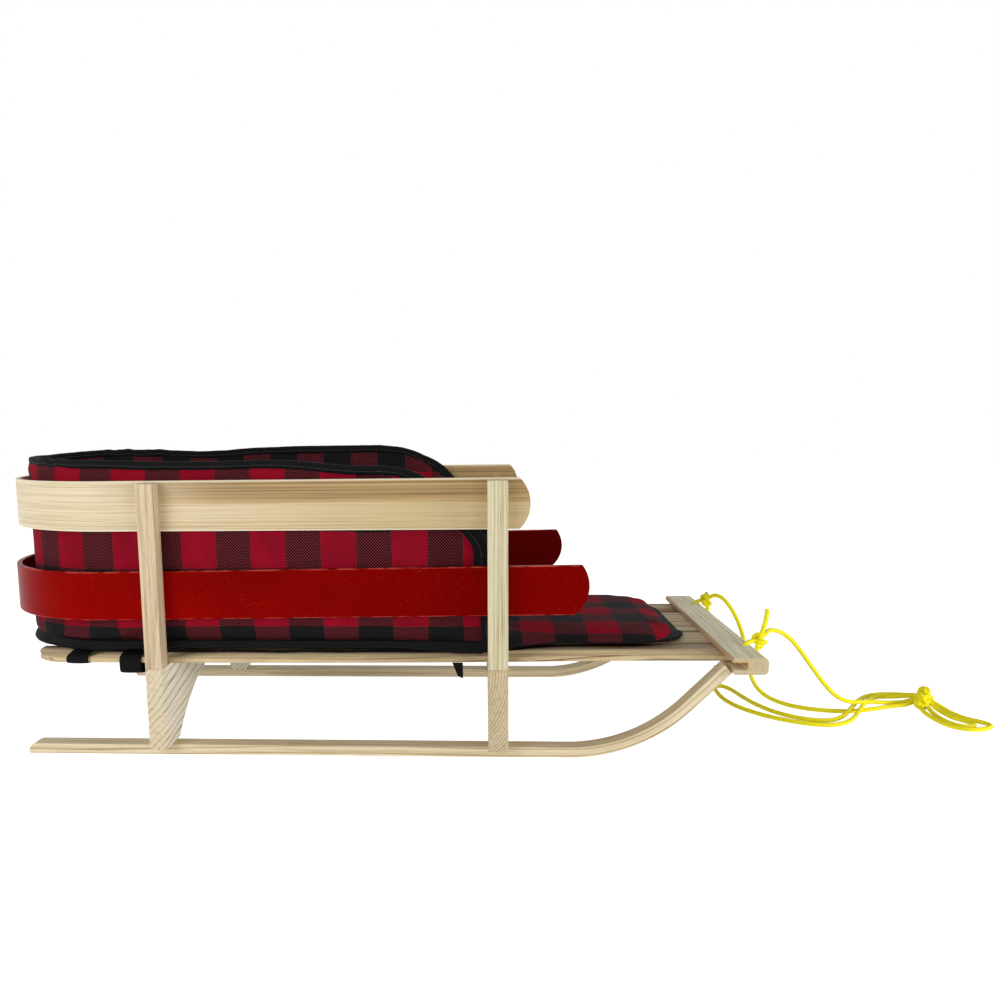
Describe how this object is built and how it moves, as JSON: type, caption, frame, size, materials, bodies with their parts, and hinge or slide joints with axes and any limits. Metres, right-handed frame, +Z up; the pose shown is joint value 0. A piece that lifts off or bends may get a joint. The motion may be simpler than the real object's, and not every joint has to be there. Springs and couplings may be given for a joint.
{
  "type": "wooden pull sled",
  "caption": "Low wooden pull sled for a small child: bent-wood runners, slatted deck, bent rails round a padded seat, and a knotted tow rope.",
  "frame": {"origin": "on the ground under the middle of the sled, measured without the tow rope", "axes": "+X forwards to the tow bar, +Z up, +Y to the seated child's left"},
  "size_m": [1.2043, 0.374, 0.338],
  "materials": {
    "runner_wood": "satin",
    "frame_wood": "satin",
    "slat_wood": "satin",
    "rail_wood": "satin",
    "red_paint": "gloss",
    "dowel_wood": "matte",
    "steel": "satin",
    "plaid_cloth": "matte",
    "black_tape": "matte",
    "black_webbing": "matte",
    "yellow_rope": "satin"
  },
  "bodies": {
    "root": {"runner_right": "runner_wood", "runner_left": "runner_wood", "front_bolster": "frame_wood", "rear_bolster": "frame_wood", "front_post_right": "frame_wood", "front_post_left": "frame_wood", "rear_post_right": "frame_wood", "rear_post_left": "frame_wood", "tow_bar": "frame_wood", "seat_slat_1": "slat_wood", "seat_slat_2": "slat_wood", "seat_slat_3": "slat_wood", "seat_slat_4": "slat_wood", "seat_slat_5": "slat_wood", "upper_rail": "rail_wood", "lower_rail": "red_paint", "post_dowels": "dowel_wood", "slat_screws": "steel", "runner_screws": "steel", "runner_nose_screws": "steel", "rail_screws": "steel", "tow_bar_brads": "steel", "back_cushion": "plaid_cloth", "seat_cushion": "plaid_cloth", "back_cushion_tape": "black_tape", "seat_cushion_tape": "black_tape", "pad_strap_rear_right": "black_webbing", "pad_strap_middle_right": "black_webbing", "pad_strap_front_right": "black_webbing", "pad_strap_tail_right": "black_webbing", "pad_strap_rear_left": "black_webbing", "pad_strap_middle_left": "black_webbing", "pad_strap_front_left": "black_webbing", "pad_strap_tail_left": "black_webbing", "rope_knot_right": "yellow_rope", "rope_knot_left": "yellow_rope", "rope_bundle_knot": "yellow_rope", "rope_eye_right": "yellow_rope", "rope_eye_left": "yellow_rope", "rope_tail_right": "yellow_rope", "rope_tail_left": "yellow_rope", "rope_lead_right": "yellow_rope", "rope_lead_left": "yellow_rope", "rope_rear_bight": "yellow_rope", "rope_front_loop_outer": "yellow_rope", "rope_front_loop_inner": "yellow_rope"}
  },
  "joints": []
}
